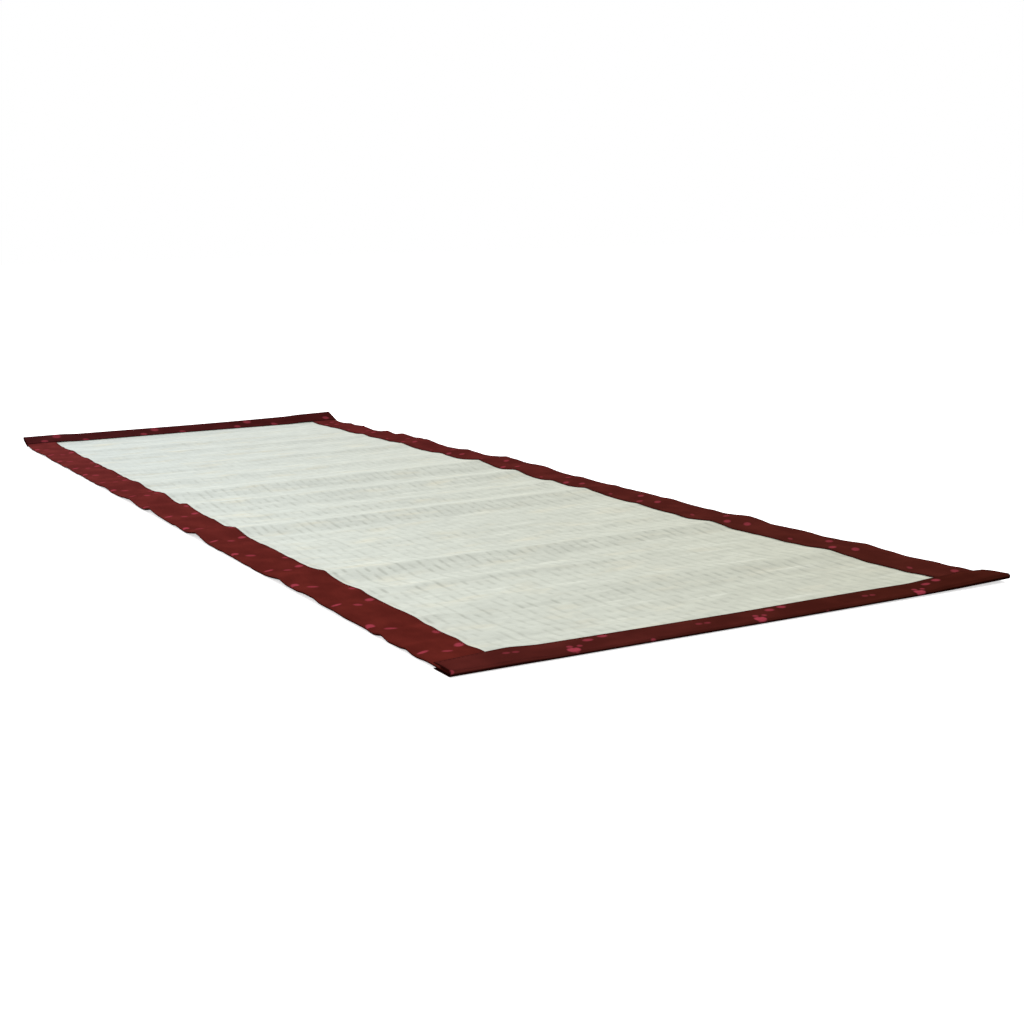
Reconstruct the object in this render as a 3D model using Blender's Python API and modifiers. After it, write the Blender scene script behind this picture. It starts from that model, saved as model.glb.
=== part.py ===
"""A woven rush yoga mat lying unrolled, bound along its sides and then across its ends with folded
cotton cloth. Frame: origin under the middle of the mat, +X across it, +Y along it towards the end
that curls up, +Z up. Lengths are metres."""

from collections import namedtuple
import math

import bmesh
import bpy
from mathutils import Vector

LENGTH = 1.830
WIDTH = 0.600
RUSH_THICK = 0.0020
CLOTH_THICK = 0.0010
GAP = 0.0003
EDGE_PULL = 0.0003  # what a fold wraps stops this far short of the centre of its bend
BEND_STEPS = 4
LEAF_STEPS = 3  # steps from an end binding's cut edge to its bend
CREST_SLOPE = 1e-3  # step for reading the slope of the surface

LEAF = CLOTH_THICK + GAP
SIDE_HALF = RUSH_THICK / 2 + LEAF
CORNER_HALF = SIDE_HALF + LEAF
SIDE_BEND = WIDTH / 2 - SIDE_HALF

# The rush sheet lies on the floor in the middle and climbs onto the bindings' lower leaves.
SIDE_CLIMB = (0.200, 0.236)
END_CLIMB = (0.836, 0.861)

# Four lines along the mat where the rise of a crease is given, and between which it runs straight.
RISE_LINES = (-0.300, -0.236, 0.236, 0.300)
ACROSS = (-0.236, -0.218, -0.200, -0.100, 0.0, 0.100, 0.200, 0.218, 0.236)

Crease = namedtuple("Crease", "crest near_run far_run left left_rim right_rim right")
CREASES = (
    Crease(-0.817, 0.034, 0.034, 0.0005, 0.0014, 0.0004, 0.0008),
    Crease(-0.712, 0.058, 0.058, 0.0005, 0.0018, 0.0020, 0.0030),
    Crease(-0.603, 0.048, 0.046, 0.0028, 0.0027, 0.0006, 0.0010),
    Crease(-0.502, 0.055, 0.055, 0.0026, 0.0042, 0.0044, 0.0034),
    Crease(-0.340, 0.060, 0.060, 0.0008, 0.0008, 0.0016, 0.0024),
    Crease(-0.214, 0.050, 0.046, 0.0042, 0.0053, 0.0036, 0.0036),
    Crease(-0.105, 0.045, 0.045, 0.0010, 0.0016, 0.0030, 0.0040),
    Crease(0.004, 0.075, 0.060, 0.0046, 0.0052, 0.0050, 0.0040),
    Crease(0.120, 0.062, 0.062, 0.0032, 0.0050, 0.0054, 0.0060),
    Crease(0.275, 0.050, 0.062, 0.0020, 0.0028, 0.0022, 0.0040),
    Crease(0.420, 0.060, 0.062, 0.0008, 0.0022, 0.0036, 0.0040),
    Crease(0.540, 0.062, 0.040, 0.0014, 0.0010, 0.0016, 0.0050),
    Crease(0.612, 0.040, 0.048, 0.0006, 0.0032, 0.0032, 0.0036),
    Crease(0.716, 0.058, 0.060, 0.0022, 0.0040, 0.0018, 0.0034),
    Crease(0.060, 0.300, 0.200, 0.0, 0.0, 0.0002, 0.0030),
    Crease(0.470, 0.220, 0.230, 0.0, 0.0, 0.0002, 0.0030),
)

Curl = namedtuple("Curl", "end run left left_rim right_rim right")
CURLS = (
    Curl(-1, 0.055, 0.0, 0.0, 0.0004, 0.0050),
    Curl(1, 0.065, 0.0116, 0.0120, 0.0150, 0.0155),
)

# Width of each binding's visible face at stations along it.
LEFT_FACE = ((-0.90, 0.051), (0.90, 0.051))
RIGHT_FACE = ((-0.90, 0.057), (-0.72, 0.054), (-0.42, 0.058), (-0.25, 0.051), (0.90, 0.050))
NEAR_FACE = ((-0.30, 0.031), (-0.23, 0.034), (0.15, 0.033), (0.24, 0.038), (0.30, 0.047))
FAR_FACE = ((-0.30, 0.036), (0.30, 0.036))

STATION_SHARES = (-1.0, -0.66, -0.33, 0.0, 0.33, 0.66, 1.0)
END_ROWS = (0.836, 0.8485, 0.861, 0.870, 0.879, 0.887, 0.895, 0.903)
LEAST_STEP = 0.007
MOST_STEP = 0.040

RUSH_COLOUR = (0.61, 0.62, 0.54, 1.0)
SIDE_COLOUR = (0.145, 0.020, 0.022, 1.0)
END_COLOUR = (0.080, 0.014, 0.012, 1.0)


def ramp(value, start, end):
    """0 up to start, 1 from end on, smooth between."""
    share = min(max((value - start) / (end - start), 0.0), 1.0)
    return share * share * (3 - 2 * share)


def read_table(table, place):
    """Straight-line reading of a table of (place, value) rows."""
    if place <= table[0][0]:
        return table[0][1]
    for (first, low), (second, high) in zip(table, table[1:]):
        if place <= second:
            return low + (high - low) * (place - first) / (second - first)
    return table[-1][1]


def rise_at(row, x):
    """Rise of a crease or curl at x, from its four lines; it runs on straight past the outer two."""
    values = (row.left, row.left_rim, row.right_rim, row.right)
    pair = 0 if x < RISE_LINES[1] else 2 if x > RISE_LINES[2] else 1
    share = (x - RISE_LINES[pair]) / (RISE_LINES[pair + 1] - RISE_LINES[pair])
    return values[pair] + (values[pair + 1] - values[pair]) * share


def lift(x, y):
    """Height of the creases and curled ends above the mat lying flat."""
    total = 0.0
    for crease in CREASES:
        run = crease.near_run if y < crease.crest else crease.far_run
        away = abs(y - crease.crest) / run
        if away < 1:
            total += rise_at(crease, x) * (1 - away) ** 2 * (1 + away)
    for curl in CURLS:
        share = (y * curl.end - LENGTH / 2 + curl.run) / curl.run
        if share > 0:
            total += rise_at(curl, x) * share * share
    return total


def side_climb(x):
    return ramp(abs(x), *SIDE_CLIMB)


def middle(x, y):
    """Point of the rush sheet's middle layer."""
    climbs = side_climb(x) + ramp(abs(y), *END_CLIMB)
    return Vector((x, y, RUSH_THICK / 2 + LEAF * climbs + lift(x, y)))


def normal(x, y):
    step = CREST_SLOPE
    along_x = middle(x + step, y) - middle(x - step, y)
    along_y = middle(x, y + step) - middle(x, y - step)
    return along_x.cross(along_y).normalized()


def outward(x, y, x_step, y_step):
    """Direction in the surface that points out over an edge."""
    return (middle(x + x_step, y + y_step) - middle(x - x_step, y - y_step)).normalized()


def end_half(x):
    """Half the thickness of an end binding's fold, which wraps the side bindings too."""
    return SIDE_HALF + LEAF * side_climb(x)


def folded(stations, out, half):
    """Outer points of a fold round an edge. The stations run from the cloth's cut edge to the centre
    of the bend; the points go out over them, round, and back below them."""
    raised = [(middle(x, y), normal(x, y)) for x, y in stations]
    centre, up = raised[-1]
    points = [point + lifted * half for point, lifted in raised]
    for step in range(1, BEND_STEPS):
        angle = math.pi * step / BEND_STEPS
        points.append(centre + half * (math.cos(angle) * up + math.sin(angle) * out))
    points += [point - lifted * half for point, lifted in reversed(raised)]
    return points


def rows_along(reach):
    """Stations along the mat: each crease has a row on its crest and rows on its flanks."""
    wanted = [crease.crest for crease in CREASES]
    wanted += [side * row for row in END_ROWS for side in (-1, 1) if row < reach]
    wanted += [-reach, reach]
    for crease in CREASES:
        for share in STATION_SHARES:
            y = crease.crest + share * (crease.near_run if share < 0 else crease.far_run)
            if min(abs(y - other) for other in wanted) > LEAST_STEP:
                wanted.append(y)
    wanted.sort()
    rows = wanted[:1]
    for y in wanted[1:]:
        count = math.ceil((y - rows[-1]) / MOST_STEP)
        start = rows[-1]
        rows += [start + (y - start) * step / count for step in range(1, count + 1)]
    return rows


def split_alike(bm):
    """Cuts each four-sided face along the diagonal where x and y grow together, so that layers that
    lie on each other bend along the same lines."""
    for face in list(bm.faces):
        first, second, third, fourth = face.verts
        across = third.co - first.co
        ends = (first, third) if across.x * across.y > 0 else (second, fourth)
        bmesh.utils.face_split(face, *ends)


def sheet(name, rows, thickness, offset, colour, collection):
    """A grid moved onto rows of points and thickened; a row's points run so that the normal of each
    face is outward."""
    columns = len(rows[0]) - 1
    steps = len(rows) - 1
    bm = bmesh.new()
    bmesh.ops.create_grid(bm, x_segments=columns, y_segments=steps, size=0.5)
    for vertex in bm.verts:
        column = round((vertex.co.x + 0.5) * columns)
        row = round((vertex.co.y + 0.5) * steps)
        vertex.co = rows[row][column]
    split_alike(bm)
    mesh = bpy.data.meshes.new(name)
    bm.to_mesh(mesh)
    bm.free()
    mesh.shade_smooth()
    mesh.set_sharp_from_angle(angle=math.radians(50))
    mesh.materials.append(finish(name, colour))
    piece = bpy.data.objects.new(name, mesh)
    collection.objects.link(piece)
    solid = piece.modifiers.new("Thickness", "SOLIDIFY")
    solid.thickness = thickness
    solid.offset = offset
    solid.use_even_offset = True
    return piece


def finish(name, colour):
    material = bpy.data.materials.new(name)
    material.use_nodes = True
    shader = material.node_tree.nodes["Principled BSDF"]
    shader.inputs["Base Color"].default_value = colour
    shader.inputs["Roughness"].default_value = 0.85
    shader.inputs["Metallic"].default_value = 0.0
    return material


def rush_field(collection):
    """The one woven sheet; its cut edges are inside the folds of the bindings."""
    x_edge = SIDE_BEND - EDGE_PULL
    y_edge = LENGTH / 2 - SIDE_HALF - EDGE_PULL
    across = [-x_edge, *ACROSS, x_edge]
    y_corner = LENGTH / 2 - CORNER_HALF - EDGE_PULL
    rows = []
    for y in rows_along(y_corner)[1:-1]:
        rows.append([middle(x, y) for x in across])
    for end in (-1, 1):
        edge = []
        for x in across:
            edge.append(middle(x, end * (y_edge - LEAF * side_climb(x))))
        rows.insert(0 if end < 0 else len(rows), edge)
    return sheet("mat_field", rows, RUSH_THICK, 0.0, RUSH_COLOUR, collection)


def side_binding(name, side, faces, collection):
    """One long strip of cloth folded round a long edge, its ends tucked into the end bindings."""
    reach = LENGTH / 2 - CORNER_HALF - EDGE_PULL
    bend = side * SIDE_BEND
    rows = []
    for y in rows_along(reach):
        inner = side * (WIDTH / 2 - read_table(faces, y))
        out = outward(bend, y, side * CREST_SLOPE, 0.0)
        points = folded([(inner, y), (bend, y)], out, SIDE_HALF)
        rows.append(points if side > 0 else points[::-1])
    return sheet(name, rows, CLOTH_THICK, -1.0, SIDE_COLOUR, collection)


def end_binding(name, end, faces, collection):
    """One short strip folded round an end, over the side bindings, with its cut ends left open."""
    columns = []
    for x in [-WIDTH / 2, -0.268, *ACROSS, 0.268, WIDTH / 2]:
        half = end_half(x)
        bend = LENGTH / 2 - half
        inner = LENGTH / 2 - read_table(faces, x)
        stations = []
        for step in range(LEAF_STEPS + 1):
            stations.append((x, end * (inner + (bend - inner) * step / LEAF_STEPS)))
        out = outward(x, end * bend, 0.0, end * CREST_SLOPE)
        columns.append(folded(stations, out, half))
    rows = [list(row) for row in zip(*columns)]
    return sheet(name, rows if end > 0 else rows[::-1], CLOTH_THICK, -1.0, END_COLOUR, collection)


def clear_scene():
    for piece in list(bpy.data.objects):
        bpy.data.objects.remove(piece, do_unlink=True)


def build():
    clear_scene()
    collection = bpy.data.collections.new("Rush yoga mat")
    bpy.context.scene.collection.children.link(collection)
    rush_field(collection)
    side_binding("binding_left", -1, LEFT_FACE, collection)
    side_binding("binding_right", 1, RIGHT_FACE, collection)
    end_binding("binding_near", -1, NEAR_FACE, collection)
    end_binding("binding_far", 1, FAR_FACE, collection)


build()
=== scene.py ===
"""Looks of the rush yoga mat: its woven sheet, the folded cotton bindings with their stitching and
petal print, a pale floor, soft light and the camera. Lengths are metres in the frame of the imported
model: origin under the middle of the mat, +X across it, +Y along it, +Z up."""

from collections import namedtuple
import math

import bpy
from mathutils import Matrix, Vector
import numpy as np


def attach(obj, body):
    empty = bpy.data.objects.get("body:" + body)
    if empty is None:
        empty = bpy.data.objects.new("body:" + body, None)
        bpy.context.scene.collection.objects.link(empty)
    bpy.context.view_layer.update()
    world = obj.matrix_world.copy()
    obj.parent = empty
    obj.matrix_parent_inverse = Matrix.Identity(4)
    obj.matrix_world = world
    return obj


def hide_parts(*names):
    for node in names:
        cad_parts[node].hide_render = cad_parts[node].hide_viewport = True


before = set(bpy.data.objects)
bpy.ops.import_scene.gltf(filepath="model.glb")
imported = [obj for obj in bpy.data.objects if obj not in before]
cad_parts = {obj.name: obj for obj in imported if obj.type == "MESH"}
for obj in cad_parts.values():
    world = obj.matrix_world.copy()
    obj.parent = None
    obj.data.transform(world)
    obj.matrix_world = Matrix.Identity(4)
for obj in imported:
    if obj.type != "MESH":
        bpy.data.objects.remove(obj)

LENGTH = 1.830
WIDTH = 0.600
RUSH_THICK = 0.0020
CLOTH_THICK = 0.0007
GAP = 0.0002
EDGE_PULL = 0.0003  # what a fold wraps stops this far short of the centre of its bend
SLOPE_STEP = 1e-3  # step for reading the slope of the surface

LEAF = CLOTH_THICK + GAP
SIDE_HALF = RUSH_THICK / 2 + LEAF
SIDE_BEND = WIDTH / 2 - SIDE_HALF

# The rush sheet lies on the floor in the middle and climbs onto the bindings' lower leaves.
SIDE_CLIMB = (0.200, 0.236)
END_CLIMB = (0.836, 0.861)

# Four lines along the mat where the rise of a crease is given, and between which it runs straight.
RISE_LINES = (-0.300, -0.236, 0.236, 0.300)

Crease = namedtuple("Crease", "crest near_run far_run left left_rim right_rim right")
CREASES = (
    Crease(-0.877, 0.034, 0.050, 0.0, 0.0022, 0.0016, 0.0004),
    Crease(-0.824, 0.018, 0.014, 0.0014, 0.0, 0.0, 0.0),
    Crease(-0.817, 0.034, 0.034, 0.0007, 0.0010, 0.0004, 0.0008),
    Crease(-0.771, 0.018, 0.022, 0.0028, 0.0, 0.0, 0.0),
    Crease(-0.715, 0.110, 0.080, 0.0, 0.0, 0.0012, 0.0),
    Crease(-0.712, 0.058, 0.058, 0.0010, 0.0020, 0.0020, 0.0030),
    Crease(-0.655, 0.042, 0.040, 0.0018, 0.0006, 0.0, 0.0),
    Crease(-0.603, 0.040, 0.085, 0.0032, 0.0, 0.0, 0.0),
    Crease(-0.603, 0.048, 0.046, 0.0, 0.0027, 0.0006, 0.0010),
    Crease(-0.575, 0.040, 0.060, 0.0013, 0.0, 0.0, 0.0),
    Crease(-0.502, 0.055, 0.055, 0.0040, 0.0042, 0.0036, 0.0034),
    Crease(-0.415, 0.050, 0.060, 0.0, 0.0, 0.0012, 0.0),
    Crease(-0.340, 0.060, 0.060, 0.0008, 0.0008, 0.0016, 0.0014),
    Crease(-0.270, 0.100, 0.120, 0.0006, 0.0, 0.0, 0.0022),
    Crease(-0.196, 0.060, 0.046, 0.0060, 0.0052, 0.0036, 0.0012),
    Crease(-0.180, 0.120, 0.120, 0.0, 0.0, 0.0014, 0.0),
    Crease(-0.120, 0.140, 0.120, 0.0004, 0.0, 0.0002, 0.0022),
    Crease(-0.105, 0.045, 0.045, 0.0018, 0.0020, 0.0030, 0.0010),
    Crease(-0.048, 0.050, 0.050, 0.0018, 0.0014, 0.0, 0.0),
    Crease(0.014, 0.072, 0.048, 0.0052, 0.0054, 0.0050, 0.0014),
    Crease(0.020, 0.160, 0.120, 0.0, 0.0, 0.0004, 0.0032),
    Crease(0.100, 0.200, 0.200, 0.0004, 0.0, 0.0004, 0.0048),
    Crease(0.132, 0.066, 0.070, 0.0040, 0.0056, 0.0056, 0.0042),
    Crease(0.160, 0.160, 0.140, 0.0, 0.0, 0.0016, 0.0),
    Crease(0.250, 0.120, 0.120, 0.0, 0.0002, 0.0002, 0.0026),
    Crease(0.275, 0.050, 0.062, 0.0024, 0.0030, 0.0024, 0.0028),
    Crease(0.436, 0.068, 0.062, 0.0008, 0.0018, 0.0028, 0.0024),
    Crease(0.470, 0.220, 0.230, 0.0, 0.0, 0.0006, 0.0048),
    Crease(0.540, 0.062, 0.040, 0.0014, 0.0006, 0.0008, 0.0040),
    Crease(0.612, 0.050, 0.048, 0.0006, 0.0024, 0.0024, 0.0040),
    Crease(0.728, 0.060, 0.060, 0.0022, 0.0030, 0.0014, 0.0036),
    Crease(0.790, 0.050, 0.060, 0.0, 0.0, 0.0006, 0.0030),
)

Curl = namedtuple("Curl", "end run left left_rim right_rim right")
CURLS = (
    Curl(-1, 0.055, 0.0, 0.0, 0.0014, 0.0030),
    Curl(1, 0.065, 0.0126, 0.0132, 0.0150, 0.0155),
)
CURL_SAG = 0.12  # a curled end lies this share lower in the middle of the mat

# Small unevenness of the whole mat, that all its layers share: wave lengths across and along.
Wave = namedtuple("Wave", "across along turn rise")
WAVES = (
    Wave(1.100, 0.047, 0.4, 0.00032),
    Wave(-1.700, 0.033, 2.1, 0.00020),
    Wave(0.450, 0.083, 4.0, 0.00030),
)

WARP_PITCH = 0.0121
GROOVE_DEPTH = 0.00034
GROOVE_SPREAD = (0.6, 1.1)  # shares of the depth between which a groove varies
GROOVE_MIDDLE = 0.75  # share of the depth in the middle of the mat, and its change in a metre
GROOVE_CHANGE = -0.45
GROOVE_SHARES = (0.0, 0.22, 0.5, 0.78)  # columns of the mesh in each pitch; the first is the groove
RUSH_PITCH = 0.0013
ROW_STEP = 0.0076

CLOTH_STEP = 0.0042
LEAF_POINTS = 9
LOWER_POINTS = 4
ARC_POINTS = 7
EDGE_POINTS = 3
BULGE = 0.0007
BULGE_SWING = 0.3  # share by which the swell of the upper leaf changes along the strip
BULGE_TURN = 47  # in radians for each metre
PUCKER = 0.0003
PUCKER_WAVES = (0.0173, 0.0291)
PUCKER_SHIFT = 900
CORNER_LUMP = (0.274, 0.011, 0.0011)  # where on the near binding, half its length, its rise
SEAM_INSET = 0.0028  # from a binding's inner edge to its stitches

STITCH_PITCH = 0.0042
STITCH_LENGTH = 0.0031
STITCH_WIDTH = 0.0005
STITCH_MARGIN = 0.003
STITCH_SIDES = 6
STITCH_FULL = (0.2, 0.8)  # shares of its length between which a stitch has its full width

# Each binding's colours at its low and high end are the cloth's own burgundy made lighter or darker
# to match how light fell on that binding: partly painted light and shade.
Strip = namedtuple(
    "Strip", "name node runs_along_y side low high stations faces window marks tints")
STRIPS = (
    Strip("cloth_left", "binding_left", True, -1, -0.9111, 0.9111,
          (-0.90, -0.82, -0.74, 0.90), (0.0475, 0.0495, 0.051, 0.051), (0.0, 0.0),
          ((-0.9111, -0.049, 0.512, 0.9111), (-2.354, 2.0, 5.0, 7.016)),
          ((0.074, 0.0105, 0.0078), (0.102, 0.0165, 0.0160))),
    Strip("cloth_right", "binding_right", True, 1, -0.9111, 0.9111,
          (-0.90, -0.72, -0.42, -0.25, 0.90), (0.057, 0.054, 0.058, 0.051, 0.050),
          (0.120, 0.120), ((-0.9111, 0.263, 0.9111), (-1.083, 5.0, 8.491)),
          ((0.049, 0.0094, 0.0066), (0.076, 0.0115, 0.0110))),
    Strip("cloth_near", "binding_near", False, -1, -0.3005, 0.3045,
          (-0.30, -0.23, 0.0, 0.15, 0.24, 0.285, 0.3045),
          (0.032, 0.034, 0.031, 0.0335, 0.033, 0.040, 0.038),
          (0.2370, 0.2432), ((-0.3005, 0.0049, 0.3045), (-1.603, 0.0, 1.626)),
          ((0.057, 0.0100, 0.0082), (0.036, 0.0068, 0.0042))),
    Strip("cloth_far", "binding_far", False, 1, -0.3010, 0.2990,
          (-0.30, 0.0, 0.30), (0.036, 0.0365, 0.041), (0.060, 0.060),
          ((-0.3010, 0.1234, 0.2990), (-2.316, 0.0, 0.959)),
          ((0.046, 0.0084, 0.0088), (0.041, 0.0064, 0.0062))),
)

# Petals of the print in one repeat of the cloth: place along and across it, length, breadth, turn
# in degrees and strength. Each binding shows its own window of the repeat, given at both its ends;
# its marks tell how many repeats have passed at some places along it.
CLOTH_REPEAT = (0.195, 0.360)
PRINT_START = (-0.0975, -0.070)
Petal = namedtuple("Petal", "along across length breadth turn strength")
PETALS = (
    Petal(-0.0035, 0.0085, 0.0150, 0.0064, 65, 0.84),
    Petal(-0.0145, 0.0260, 0.0115, 0.0085, -40, 0.58),
    Petal(0.000, 0.044, 0.0150, 0.0100, 38, 0.82),
    Petal(-0.0940, 0.0050, 0.0155, 0.0100, 11, 0.92),
    Petal(0.0835, 0.0175, 0.0150, 0.0100, -38, 0.60),
    Petal(0.051, 0.047, 0.0130, 0.0090, 10, 0.60),
    Petal(0.040, -0.022, 0.0150, 0.0100, 20, 0.80),
    Petal(-0.042, -0.030, 0.0150, 0.0100, 50, 0.80),
    Petal(0.000, 0.072, 0.0190, 0.0200, 0, 0.52),
    Petal(-0.027, 0.091, 0.0160, 0.0150, 40, 0.52),
    Petal(0.052, 0.095, 0.0180, 0.0140, 60, 0.50),
    Petal(-0.005, 0.165, 0.0175, 0.0100, -40, 0.56),
    Petal(0.030, 0.141, 0.0180, 0.0100, -38, 0.50),
    Petal(-0.026, 0.151, 0.0175, 0.0100, -42, 0.52),
    Petal(0.070, 0.164, 0.0120, 0.0060, -20, 0.36),
    Petal(0.003, 0.2545, 0.0070, 0.0065, 0, 0.60),
    Petal(0.0120, 0.2530, 0.0065, 0.0060, 30, 0.52),
    Petal(0.0262, 0.2632, 0.0120, 0.0075, 0, 0.62),
    Petal(0.0430, 0.2670, 0.0110, 0.0095, 0, 0.66),
    Petal(-0.0475, 0.2580, 0.0080, 0.0058, 0, 0.34),
    Petal(-0.0560, 0.2590, 0.0085, 0.0058, 0, 0.34),
    Petal(0.0785, 0.2390, 0.0060, 0.0060, 0, 0.60),
)
BLOSSOMS = ((0.0, 0.2440), (-0.072, 0.210))
BLOSSOM = (
    Petal(-0.0004, 0.0014, 0.0130, 0.0080, 84, 0.95),
    Petal(0.0046, 0.0010, 0.0125, 0.0080, 64, 0.95),
    Petal(0.0021, 0.0012, 0.0080, 0.0145, 0, 0.95),
)
DOME_EDGE = 1.5  # the slope of a petal's soft rim; its middle is cut flat

PETAL_COLOUR = (0.285, 0.036, 0.055, 1.0)
CLOTH_SHEEN = (0.50, 0.05, 0.05, 1.0)
THREAD_COLOURS = ((0.034, 0.006, 0.006, 1.0), (0.066, 0.010, 0.010, 1.0))
CLOTH_THREADS = 0.0009  # pitch of two threads of the cloth

# Painted shade on a strip, in its tucked or open ends, along its hem and under its fold: where the
# darkening ends and is full, and how dark it gets.
Shade = namedtuple("Shade", "ends full depth")
TUCKED_END = Shade(0.020, 0.014, 0.75)
OPEN_END = Shade(0.0012, 0.0002, 0.75)
HEM = Shade(0.0013, 0.0002, 0.52)
UNDERSIDE = Shade(0.0012, -0.0007, 0.88)

SURROUND = 1.0
WINDOW_FROM = (0.4, 2.2, 1.35)
WINDOW_SPREAD = 35.0
WINDOW_POWER = 2.3
FLOOR_COLOUR = (0.93, 0.93, 0.93, 1.0)
FLOOR_GLOW = 0.60
FLOOR_REACH = 200.0

CAMERA_PLACE = (-0.7918, -1.9722, 0.3355)
CAMERA_YAW = 27.510
CAMERA_PITCH = 9.874
CAMERA_ROLL = -1.680
CAMERA_LENS = 53.32
CAMERA_SENSOR = 36.0


def ramp(value, start, end):
    """0 up to start, 1 from end on, smooth between."""
    share = np.clip((value - start) / (end - start), 0.0, 1.0)
    return share * share * (3 - 2 * share)


def lift(x, y):
    """Height of the creases and curled ends above the mat lying flat."""
    total = 0.0
    for crease in CREASES:
        run = np.where(y < crease.crest, crease.near_run, crease.far_run)
        away = np.minimum(np.abs(y - crease.crest) / run, 1.0)
        total = total + np.interp(x, RISE_LINES, crease[-4:]) * (1 - away) ** 2 * (1 + away)
    for curl in CURLS:
        share = np.maximum((y * curl.end - LENGTH / 2 + curl.run) / curl.run, 0.0)
        rise = np.interp(x, RISE_LINES, curl[-4:]) * (1 - CURL_SAG * (1 - (2 * x / WIDTH) ** 2))
        total = total + rise * share * share
    return total


def side_climb(x):
    return ramp(np.abs(x), *SIDE_CLIMB)


def height(x, y):
    """Height of the rush sheet's middle layer."""
    climbs = side_climb(x) + ramp(np.abs(y), *END_CLIMB)
    total = RUSH_THICK / 2 + LEAF * climbs + lift(x, y)
    for wave in WAVES:
        swing = np.sin(math.tau * (x / wave.across + y / wave.along) + wave.turn)
        total = total + wave.rise * (0.5 + 0.5 * swing)
    return total


def surface(x, y):
    """Points of the middle layer, its slopes across and along, and its upward normals."""
    across = (height(x + SLOPE_STEP, y) - height(x - SLOPE_STEP, y)) / (2 * SLOPE_STEP)
    along = (height(x, y + SLOPE_STEP) - height(x, y - SLOPE_STEP)) / (2 * SLOPE_STEP)
    up = np.stack((-across, -along, np.ones_like(across)), axis=-1)
    up /= np.linalg.norm(up, axis=-1, keepdims=True)
    return np.stack((x, y, height(x, y)), axis=-1), across, along, up


def fold_points(strip, along, share, extra, inset, angle):
    """Points of a binding's fold. share runs from 0 at the centre of the bend to 1 at a cut edge and
    extra goes on past it; inset is the depth below the outer face; angle is 0 on the upper leaf and
    pi on the lower one. Gives the points, the cloth's own coordinate across the fold, and how far
    the cut edge is."""
    half = np.full_like(along, SIDE_HALF)
    edge = WIDTH / 2
    if not strip.runs_along_y:
        half = SIDE_HALF + LEAF * side_climb(along)
        edge = LENGTH / 2
    leaf = np.interp(along, strip.stations, strip.faces) - half
    run = leaf * share + extra
    place = strip.side * (edge - half - run)
    x, y = (place, along) if strip.runs_along_y else (along, place)
    point, slope_across, slope_along, up = surface(x, y)
    if strip.runs_along_y:
        out = np.stack((np.ones_like(x), np.zeros_like(x), slope_across), axis=-1)
    else:
        out = np.stack((np.zeros_like(x), np.ones_like(x), slope_along), axis=-1)
    out *= strip.side / np.linalg.norm(out, axis=-1, keepdims=True)
    radius = (half - inset)[..., None]
    turned = np.cos(angle)[..., None] * up + np.sin(angle)[..., None] * out
    loose = leaf_rise(along, share, run, leaf)
    if strip.name == "cloth_near":
        place, reach, rise = CORNER_LUMP
        loose = loose + rise * np.exp(-((along - place) / reach) ** 2) * share
    loose = loose * (angle == 0)
    across = np.where(angle < 1, 1, -1) * run + (math.pi / 2 - angle) * half
    return point + radius * turned + loose[..., None] * up, across, leaf - run


def leaf_rise(along, share, run, leaf):
    """How far the upper leaf stands off what it covers: a soft swell and puckers at the stitches."""
    evened = 1 - BULGE_SWING + BULGE_SWING * np.sin(along * BULGE_TURN + 1.0)
    swell = BULGE * 4 * share * (1 - share) * evened
    pulled = sum(np.sin(math.tau * along / length + length * PUCKER_SHIFT) for length in PUCKER_WAVES)
    near_seam = np.exp(-((leaf - run - 2.5 * SEAM_INSET) / (2 * SEAM_INSET)) ** 2)
    return np.maximum(swell, 0.0) + PUCKER * (0.5 + 0.25 * pulled) * near_seam


def fold_outline():
    """Closed cross-section of a fold as columns of share, extra, inset and angle: the outer face
    from the upper cut edge round to the lower one, and the inner face back."""
    def leaf(count, inset, angle, inward):
        shares = np.linspace(1, 0, count) if inward else np.linspace(0, 1, count)
        return [(share, 0.0, inset, angle) for share in shares]

    def bend(inset, angles):
        return [(0.0, 0.0, inset, angle) for angle in angles]

    def edge(angle, first, last):
        points = []
        for turn in np.linspace(first, last, EDGE_POINTS + 2)[1:-1]:
            reach = CLOTH_THICK / 2 * math.sin(turn)
            points.append((1.0, reach, CLOTH_THICK / 2 * (1 - math.cos(turn)), angle))
        return points

    arc = np.linspace(0, math.pi, ARC_POINTS + 2)[1:-1]
    rows = leaf(LEAF_POINTS, 0.0, 0.0, True) + bend(0.0, arc)
    rows += leaf(LOWER_POINTS, 0.0, math.pi, False) + edge(math.pi, 0, math.pi)
    rows += leaf(LOWER_POINTS, CLOTH_THICK, math.pi, True) + bend(CLOTH_THICK, arc[::-1])
    rows += leaf(LEAF_POINTS, CLOTH_THICK, 0.0, False) + edge(0.0, math.pi, 0)
    return np.array(rows).T


def grid_faces(rows, columns, closed):
    """Faces of a grid of points; closed joins the last column to the first."""
    across = np.arange(columns if closed else columns - 1)
    beside = (across + 1) % columns
    first = np.arange(rows - 1)[:, None] * columns
    corners = (first + across, first + beside, first + columns + beside, first + columns + across)
    return np.stack(corners, axis=-1).reshape(-1, 4)


def mesh_piece(name, points, faces, attributes, material):
    """A smooth mesh object that rides on the model, with vector attributes on its points."""
    mesh = bpy.data.meshes.new(name)
    mesh.from_pydata(points.reshape(-1, 3).tolist(), [], [list(map(int, face)) for face in faces])
    for key, values in attributes.items():
        layer = mesh.attributes.new(key, "FLOAT_VECTOR", "POINT")
        layer.data.foreach_set("vector", np.asarray(values, np.float32).reshape(-1))
    mesh.shade_smooth()
    mesh.update()
    mesh.materials.append(material)
    piece = bpy.data.objects.new(name, mesh)
    bpy.context.scene.collection.objects.link(piece)
    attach(piece, "root")
    return piece


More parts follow.
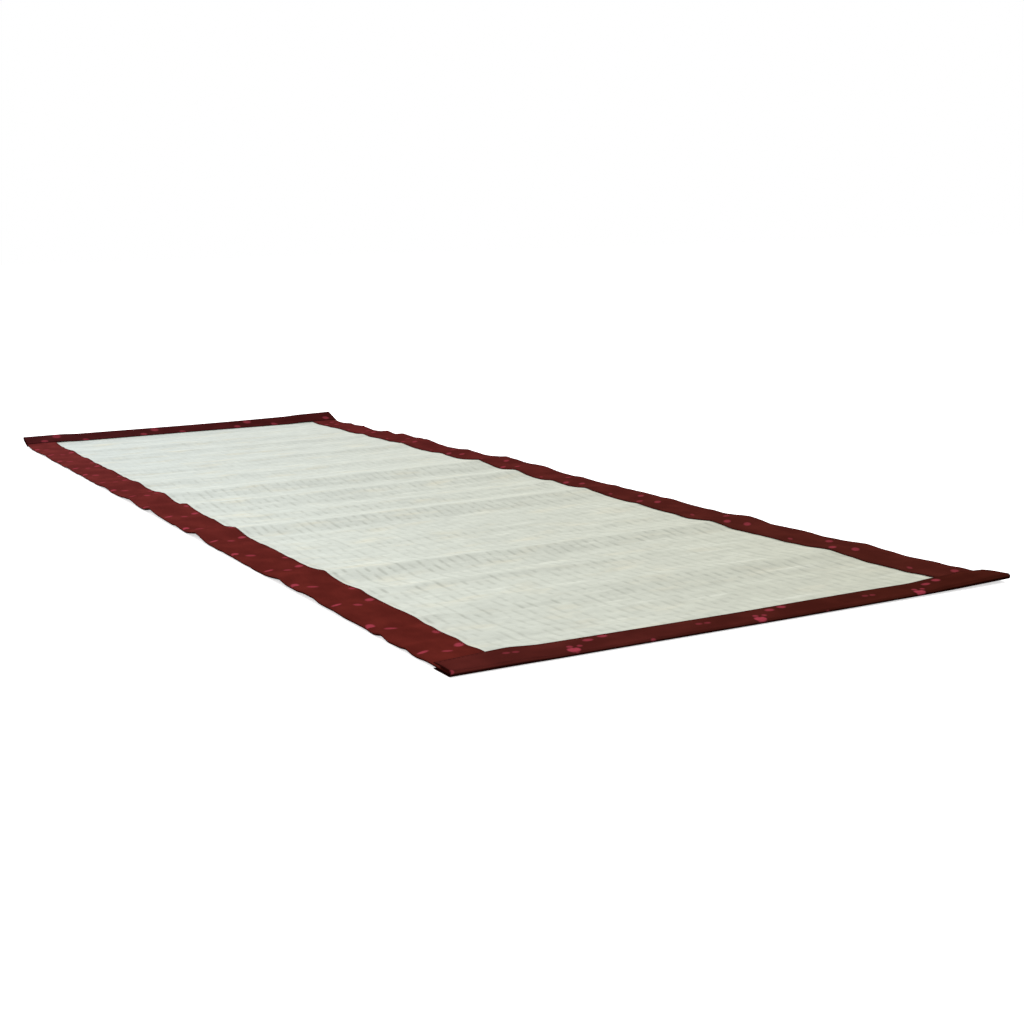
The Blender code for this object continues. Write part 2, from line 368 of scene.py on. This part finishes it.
def make_strip(strip):
    """One binding: its fold lofted along the edge, with both ends closed across the cloth."""
    count = math.ceil((strip.high - strip.low) / CLOTH_STEP) + 1
    share, extra, inset, angle = fold_outline()
    shape = (count, len(share))
    along = np.broadcast_to(np.linspace(strip.low, strip.high, count)[:, None], shape)
    columns = [np.broadcast_to(values, shape) for values in (share, extra, inset, angle)]
    points, across, rim = fold_points(strip, along, *columns)
    faces = grid_faces(*shape, True).tolist()
    bend = LEAF_POINTS + ARC_POINTS + LOWER_POINTS - 1  # column at the lower leaf's cut edge
    last = 2 * bend + EDGE_POINTS + 1  # column of the inner face at the upper cut edge
    cap = [[step, step + 1, last - 1 - step, last - step] for step in range(bend)]
    cap += [list(range(bend, bend + EDGE_POINTS + 2)), [*range(last, shape[1]), 0]]
    faces += [face[::-1] for face in cap]
    faces += [[index + (count - 1) * shape[1] for index in face] for face in cap]
    if strip.runs_along_y == (strip.side < 0):
        faces = [face[::-1] for face in faces]
    eased = np.interp(along, *strip.marks) * CLOTH_REPEAT[0]
    window = np.interp(along, (strip.low, strip.high), strip.window)
    cloth = np.stack((eased, across + window, np.zeros_like(across)), axis=-1)
    fold = np.stack((across, rim, along), axis=-1)
    attributes = {"cloth": cloth, "fold": fold}
    piece = mesh_piece(strip.name, points, faces, attributes, cloth_material(strip))
    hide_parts(strip.node)
    return piece


def make_mat():
    """The woven sheet: a fine grid over and under, with a groove along every warp string."""
    edge_x = SIDE_BEND - EDGE_PULL
    lines = np.arange(math.floor(-edge_x / WARP_PITCH), math.ceil(edge_x / WARP_PITCH) + 1)
    shares = np.array(GROOVE_SHARES)
    x = ((lines[:, None] + shares) * WARP_PITCH).reshape(-1)
    deep = np.broadcast_to(shares == 0, (len(lines), len(shares))).reshape(-1)
    inside = np.abs(x) < edge_x - WARP_PITCH / 8
    x = np.concatenate(([-edge_x], x[inside], [edge_x]))
    deep = np.concatenate(([0.0], deep[inside], [0.0]))
    end_edge = LENGTH / 2 - SIDE_HALF - EDGE_PULL
    reach = end_edge - LEAF * side_climb(x)
    count = math.ceil(2 * end_edge / ROW_STEP) + 1
    shape = (count, len(x))
    x = np.broadcast_to(x, shape)
    y = np.linspace(-1, 1, count)[:, None] * reach
    random = np.random.default_rng(7)
    depth = GROOVE_DEPTH * deep * random.uniform(*GROOVE_SPREAD, shape)
    depth = depth * (GROOVE_MIDDLE + GROOVE_CHANGE * y)
    point, _, slope, up = surface(x, y)
    offset = (RUSH_THICK / 2 - depth)[..., None] * up
    points = np.concatenate((point + offset, point - offset))
    size = shape[0] * shape[1]
    top = grid_faces(*shape, False)
    faces = [*top, *(top[:, ::-1] + size)]
    rim = np.concatenate((
        np.arange(shape[1] - 1),
        np.arange(shape[0] - 1) * shape[1] + shape[1] - 1,
        size - 1 - np.arange(shape[1] - 1),
        size - shape[1] - np.arange(shape[0] - 1) * shape[1],
    ))
    for low, high in zip(rim, np.roll(rim, -1)):
        faces.append((high, low, low + size, high + size))
    place = np.stack((x, y, slope), axis=-1)
    attributes = {"place": np.concatenate((place, place))}
    piece = mesh_piece("rush_mat", points, faces, attributes, rush_material())
    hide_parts("mat_field")
    return piece


def make_stitches(strip, material):
    """The row of stitches that holds a binding's upper leaf, as one mesh of small threads."""
    count = int((strip.high - strip.low - 2 * STITCH_MARGIN) / STITCH_PITCH)
    middle = strip.low + STITCH_MARGIN + (np.arange(count) + 0.5) * STITCH_PITCH
    leaf = np.interp(middle, strip.stations, strip.faces) - SIDE_HALF
    share = 1 - SEAM_INSET / leaf
    zero = np.zeros_like(middle)
    ends = []
    for side in (-1, 1):
        along = middle + side * STITCH_LENGTH / 2
        ends.append(fold_points(strip, along, share, zero, zero, zero)[0])
    low, high = ends
    way = (high - low) / np.linalg.norm(high - low, axis=-1, keepdims=True)
    up = np.array((0.0, 0.0, 1.0))
    side = np.cross(way, up)
    rings = [low[:, None]]
    for place in STITCH_FULL:
        centre = low + (high - low) * place
        for turn in np.arange(STITCH_SIDES) * math.tau / STITCH_SIDES:
            spread = side * math.cos(turn) + up * math.sin(turn)
            rings.append((centre + spread * STITCH_WIDTH / 2)[:, None])
    rings.append(high[:, None])
    points = np.concatenate(rings, axis=1)
    template = []
    second = 1 + STITCH_SIDES  # first point of the second ring
    tip = second + STITCH_SIDES
    for step in range(STITCH_SIDES):
        after = (step + 1) % STITCH_SIDES
        template.append((0, 1 + step, 1 + after))
        template.append((1 + step, second + step, second + after, 1 + after))
        template.append((second + step, tip, second + after))
    size = tip + 1
    faces = [[index + size * row for index in face] for row in range(count) for face in template]
    piece = mesh_piece(strip.name + "_stitches", points, faces, {}, material)
    return piece


def node(tree, kind, *inputs, **settings):
    """A node with its settings, its inputs linked or set in order; gives its first output."""
    made = tree.nodes.new(kind)
    for key, value in settings.items():
        setattr(made, key, value)
    for socket, value in zip(made.inputs, inputs):
        if isinstance(value, bpy.types.NodeSocket):
            tree.links.new(value, socket)
        elif value is not None:
            socket.default_value = value
    return made.outputs[0]


def maths(tree, operation, *inputs):
    return node(tree, "ShaderNodeMath", *inputs, operation=operation)


def vectors(tree, operation, *inputs):
    return node(tree, "ShaderNodeVectorMath", *inputs, operation=operation)


def soft_step(tree, value, start, end):
    """A smooth change from 0 at start to 1 at end."""
    return node(tree, "ShaderNodeMapRange", value, start, end, 0.0, 1.0,
                interpolation_type="SMOOTHSTEP")


def mix(tree, share, first, second, blend="MIX"):
    made = tree.nodes.new("ShaderNodeMix")
    made.data_type = "RGBA"
    made.blend_type = blend
    for index, value in ((0, share), (6, first), (7, second)):
        if isinstance(value, bpy.types.NodeSocket):
            tree.links.new(value, made.inputs[index])
        else:
            made.inputs[index].default_value = value
    return made.outputs[2]


def noise(tree, place, scale, detail=2.0):
    """Noise from 0 to 1 on a place stretched by the three scales."""
    spread = vectors(tree, "MULTIPLY", place, scale)
    made = tree.nodes.new("ShaderNodeTexNoise")
    tree.links.new(spread, made.inputs["Vector"])
    made.inputs["Scale"].default_value = 1.0
    made.inputs["Detail"].default_value = detail
    return made.outputs["Fac"]


def attribute(tree, name):
    made = tree.nodes.new("ShaderNodeAttribute")
    made.attribute_name = name
    return made.outputs["Vector"]


def split(tree, vector):
    made = tree.nodes.new("ShaderNodeSeparateXYZ")
    tree.links.new(vector, made.inputs[0])
    return made.outputs


def new_material(name, roughness, sheen, specular):
    material = bpy.data.materials.new(name)
    material.use_nodes = True
    shader = material.node_tree.nodes["Principled BSDF"]
    shader.inputs["Roughness"].default_value = roughness
    shader.inputs["Sheen Weight"].default_value = sheen
    shader.inputs["Specular IOR Level"].default_value = specular
    return material, material.node_tree, shader


def add_bump(tree, shader, relief, distance, strength):
    made = tree.nodes.new("ShaderNodeBump")
    made.inputs["Strength"].default_value = strength
    made.inputs["Distance"].default_value = distance
    tree.links.new(relief, made.inputs["Height"])
    tree.links.new(made.outputs["Normal"], shader.inputs["Normal"])


def rush_material():
    """Bleached rushes across the mat, bound down along every warp string, with painted shade in the
    grooves and on the flanks turned from the light.
    """
    material, tree, shader = new_material("rush_weave", 0.75, 0.0, 0.05)
    place = attribute(tree, "place")
    x, y, slope = split(tree, place)

    drift = maths(tree, "MULTIPLY_ADD", noise(tree, place, (7.0, 12.0, 0.0)), 0.6, -0.3)
    groove_away = maths(tree, "PINGPONG", maths(tree, "MULTIPLY_ADD", x, 1 / WARP_PITCH, drift), 0.5)
    groove = maths(tree, "SUBTRACT", 1.0, soft_step(tree, groove_away, 0.02, 0.30))
    broken = soft_step(tree, noise(tree, place, (80.0, 55.0, 0.0)), 0.38, 0.62)
    # Flanks that rise along +Y face away from the window, so they lie in shade.
    shaded_flank = soft_step(tree, slope, 0.005, 0.09)
    # Painted shade in the grooves, stronger towards -Y and much stronger on the shaded flanks; the
    # same strength also sets the bump's depth in the grooves.
    groove_shade_and_depth = maths(tree, "MAXIMUM", maths(tree, "MULTIPLY_ADD", y, -0.20, 0.14), 0.01)
    on_flank = maths(tree, "MULTIPLY_ADD", y, -0.12, 0.20)
    groove_shade_and_depth = maths(tree, "MULTIPLY_ADD", shaded_flank, on_flank, groove_shade_and_depth)
    stroke = maths(tree, "MULTIPLY", maths(tree, "MULTIPLY", groove, broken), groove_shade_and_depth)

    strand = maths(tree, "PINGPONG", maths(tree, "DIVIDE", y, RUSH_PITCH), 0.5)
    each_rush = noise(tree, place, (9.0, 1 / RUSH_PITCH, 0.0), 0.0)
    bundles = noise(tree, place, (9.0, 75.0, 0.0), 3.0)
    patches = noise(tree, place, (13.0, 30.0, 0.0), 3.0)
    blotches = noise(tree, place, (26.0, 48.0, 3.0), 2.0)
    cells = noise(tree, place, (1 / WARP_PITCH, 95.0, 0.0), 2.0)

    silver = (0.466, 0.506, 0.482, 1.0)
    green = (0.420, 0.427, 0.352, 1.0)
    warm = (0.490, 0.478, 0.385, 1.0)
    cream = (0.580, 0.595, 0.520, 1.0)
    shade = (0.255, 0.265, 0.225, 1.0)
    # Greener and darker towards the near right corner.
    greener_to_near_right = maths(tree, "MULTIPLY_ADD", x, 0.9, 0.5)
    greener_to_near_right = maths(tree, "MULTIPLY_ADD", y, -0.36, greener_to_near_right)
    colour = mix(tree, greener_to_near_right, silver, green)
    colour = mix(tree, soft_step(tree, patches, 0.50, 0.85), colour, warm)
    colour = mix(tree, soft_step(tree, bundles, 0.52, 0.95), colour, cream)
    tone = maths(tree, "MULTIPLY_ADD", each_rush, 0.12, 0.735)
    tone = maths(tree, "MULTIPLY_ADD", cells, 0.20, tone)
    tone = maths(tree, "MULTIPLY_ADD", blotches, 0.28, tone)
    # Painted shade: the flanks turned away from the window are made darker.
    tone = maths(tree, "MULTIPLY_ADD", shaded_flank, -0.035, tone)
    tone = maths(tree, "MULTIPLY_ADD", soft_step(tree, y, 0.15, 0.65), -0.038, tone)
    near_right = maths(tree, "MULTIPLY", soft_step(tree, y, -0.55, -0.85),
                       soft_step(tree, x, -0.15, 0.20))
    tone = maths(tree, "MULTIPLY_ADD", near_right, -0.035, tone)
    mid_left = maths(tree, "MULTIPLY", soft_step(tree, x, 0.02, -0.22),
                     maths(tree, "SUBTRACT", soft_step(tree, y, -0.86, -0.64),
                           soft_step(tree, y, 0.02, 0.30)))
    tone = maths(tree, "MULTIPLY_ADD", mid_left, 0.055, tone)
    colour = vectors(tree, "SCALE", colour, None, None, tone)
    # Painted shade: the grooves are mixed towards a shade colour.
    colour = mix(tree, stroke, colour, shade)
    tree.links.new(colour, shader.inputs["Base Color"])

    rounded = maths(tree, "POWER", strand, 0.5)
    sunk = maths(tree, "MULTIPLY", groove, maths(tree, "MULTIPLY_ADD", groove_shade_and_depth, 1.6, 0.2))
    relief = maths(tree, "MULTIPLY_ADD", rounded, 0.6, maths(tree, "MULTIPLY", sunk, -1.0))
    add_bump(tree, shader, relief, 0.0004, 0.5)
    return material


def print_mask(tree, cloth):
    """How strongly the print covers the cloth: a soft dome for every petal of one repeat."""
    petals = list(PETALS)
    for along_place, across_place in BLOSSOMS:
        for petal in BLOSSOM:
            petals.append(petal._replace(along=along_place + petal.along,
                                         across=across_place + petal.across))
    shifted = vectors(tree, "SUBTRACT", cloth, (*PRINT_START, 0.0))
    along, across, _ = split(tree, shifted)
    along = maths(tree, "FLOORED_MODULO", along, CLOTH_REPEAT[0])
    across = maths(tree, "FLOORED_MODULO", across, CLOTH_REPEAT[1])
    within = vectors(tree, "ADD", node(tree, "ShaderNodeCombineXYZ", along, across, 0.0),
                     (*PRINT_START, 0.0))
    cover = 0.0
    for petal in petals:
        away = vectors(tree, "SUBTRACT", within, (petal.along, petal.across, 0.0))
        turned = node(tree, "ShaderNodeVectorRotate", away, None, None,
                      -math.radians(petal.turn), rotation_type="Z_AXIS")
        turned = vectors(tree, "MULTIPLY", turned, (2 / petal.length, 2 / petal.breadth, 0.0))
        made = tree.nodes.new("ShaderNodeVectorMath")
        made.operation = "DOT_PRODUCT"
        tree.links.new(turned, made.inputs[0])
        tree.links.new(turned, made.inputs[1])
        dome = maths(tree, "MULTIPLY_ADD", made.outputs["Value"], -DOME_EDGE, DOME_EDGE)
        dome = maths(tree, "MULTIPLY", maths(tree, "MINIMUM", dome, 1.0), petal.strength)
        cover = maths(tree, "MAXIMUM", cover, dome)
    uneven = noise(tree, cloth, (420.0, 420.0, 0.0), 1.0)
    return maths(tree, "MULTIPLY", cover, maths(tree, "MULTIPLY_ADD", uneven, 0.5, 0.75))


def cloth_material(strip):
    """Plain-woven burgundy cotton with scattered petals, with painted shade at its ends, along its
    hem and on the underside of its fold.
    """
    material, tree, shader = new_material(strip.name, 0.85, 0.02, 0.0)
    shader.inputs["Sheen Tint"].default_value = CLOTH_SHEEN
    cloth = attribute(tree, "cloth")
    across, rim, along = split(tree, attribute(tree, "fold"))

    # The colour blends between the binding's two end colours, which carry painted light and shade as
    # well as the cloth's own colour.
    reach = soft_step(tree, along, strip.low, strip.high)
    colour = mix(tree, reach, *((*tint, 1.0) for tint in strip.tints))
    slub = soft_step(tree, noise(tree, cloth, (60.0, 900.0, 0.0), 2.0), 0.5, 0.8)
    patches = soft_step(tree, noise(tree, cloth, (22.0, 30.0, 0.0), 2.0), 0.35, 0.75)
    tone = maths(tree, "MULTIPLY_ADD", patches, 0.40, 1.0)
    tone = maths(tree, "MULTIPLY_ADD", slub, -0.20, tone)
    colour = vectors(tree, "SCALE", colour, None, None, tone)
    colour = mix(tree, print_mask(tree, cloth), colour, PETAL_COLOUR)

    # Painted shade: the cloth is darkened near its ends, at the hem's edge and on the fold's
    # underside, where shade falls.
    from_low = maths(tree, "SUBTRACT", along, strip.low)
    from_high = maths(tree, "SUBTRACT", strip.high, along)
    from_end = maths(tree, "MINIMUM", from_low, from_high)
    end_shade = TUCKED_END if strip.runs_along_y else OPEN_END
    dark = 0.0
    for place, shade in ((from_end, end_shade), (rim, HEM), (across, UNDERSIDE)):
        reached = soft_step(tree, place, shade.ends, shade.full)
        dark = maths(tree, "MAXIMUM", dark, maths(tree, "MULTIPLY", reached, shade.depth))
    colour = vectors(tree, "SCALE", colour, None, None, maths(tree, "SUBTRACT", 1.0, dark))
    tree.links.new(colour, shader.inputs["Base Color"])

    turns = math.tau / CLOTH_THREADS
    threads = maths(tree, "MULTIPLY",
                    maths(tree, "SINE", maths(tree, "MULTIPLY", along, turns)),
                    maths(tree, "SINE", maths(tree, "MULTIPLY", across, turns)))
    add_bump(tree, shader, threads, 0.00015, 0.4)
    return material


def stitch_material():
    """Twisted burgundy thread, a shade darker than the cloth."""
    material, tree, shader = new_material("stitch_thread", 0.9, 0.0, 0.0)
    place = node(tree, "ShaderNodeNewGeometry")
    tone = noise(tree, place, (300.0, 300.0, 300.0), 1.0)
    colour = mix(tree, tone, *THREAD_COLOURS)
    tree.links.new(colour, shader.inputs["Base Color"])
    return material


def make_floor():
    material, tree, shader = new_material("floor_paper", 1.0, 0.0, 0.0)
    shader.inputs["Base Color"].default_value = FLOOR_COLOUR
    shader.inputs["Emission Color"].default_value = (1.0, 1.0, 1.0, 1.0)
    shader.inputs["Emission Strength"].default_value = FLOOR_GLOW
    mesh = bpy.data.meshes.new("floor")
    sides = ((-1, -1), (1, -1), (1, 1), (-1, 1))
    points = [(x * FLOOR_REACH, y * FLOOR_REACH, 0.0) for x, y in sides]
    mesh.from_pydata(points, [], [(0, 1, 2, 3)])
    mesh.materials.append(material)
    floor = bpy.data.objects.new("floor", mesh)
    bpy.context.scene.collection.objects.link(floor)


def make_lights():
    world = bpy.data.worlds.new("studio")
    world.use_nodes = True
    background = world.node_tree.nodes["Background"]
    background.inputs["Color"].default_value = (1.0, 1.0, 1.0, 1.0)
    background.inputs["Strength"].default_value = SURROUND
    bpy.context.scene.world = world
    data = bpy.data.lights.new("window", "SUN")
    data.angle = math.radians(WINDOW_SPREAD)
    data.energy = WINDOW_POWER
    window = bpy.data.objects.new("window", data)
    bpy.context.scene.collection.objects.link(window)
    window.location = WINDOW_FROM
    window.rotation_mode = "QUATERNION"
    window.rotation_quaternion = (-Vector(WINDOW_FROM)).to_track_quat("-Z", "Y")


def make_camera():
    yaw, pitch, roll = map(math.radians, (CAMERA_YAW, CAMERA_PITCH, CAMERA_ROLL))
    ahead = Vector((math.sin(yaw) * math.cos(pitch), math.cos(yaw) * math.cos(pitch),
                    -math.sin(pitch)))
    right = Vector((math.cos(yaw), -math.sin(yaw), 0.0))
    up = right.cross(ahead)
    turned_right = math.cos(roll) * right + math.sin(roll) * up
    turned_up = math.cos(roll) * up - math.sin(roll) * right
    axes = Matrix((turned_right, turned_up, -ahead)).transposed()
    data = bpy.data.cameras.new("camera")
    data.lens = CAMERA_LENS
    data.sensor_width = CAMERA_SENSOR
    camera = bpy.data.objects.new("camera", data)
    bpy.context.scene.collection.objects.link(camera)
    camera.matrix_world = Matrix.Translation(CAMERA_PLACE) @ axes.to_4x4()
    bpy.context.scene.camera = camera


def corners(bounds):
    return [list(corner) for corner in bounds]


def clear_startup():
    for name in ("Cube", "Light", "Camera"):
        if name in bpy.data.objects:
            bpy.data.objects.remove(bpy.data.objects[name], do_unlink=True)


def build():
    clear_startup()
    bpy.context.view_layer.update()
    mat = make_mat()
    thread = stitch_material()
    for strip in STRIPS:
        cloth = make_strip(strip)
        stitches = make_stitches(strip, thread)
    make_floor()
    make_lights()
    make_camera()
    bpy.context.scene.view_settings.view_transform = "Standard"
    bpy.context.view_layer.update()


build()
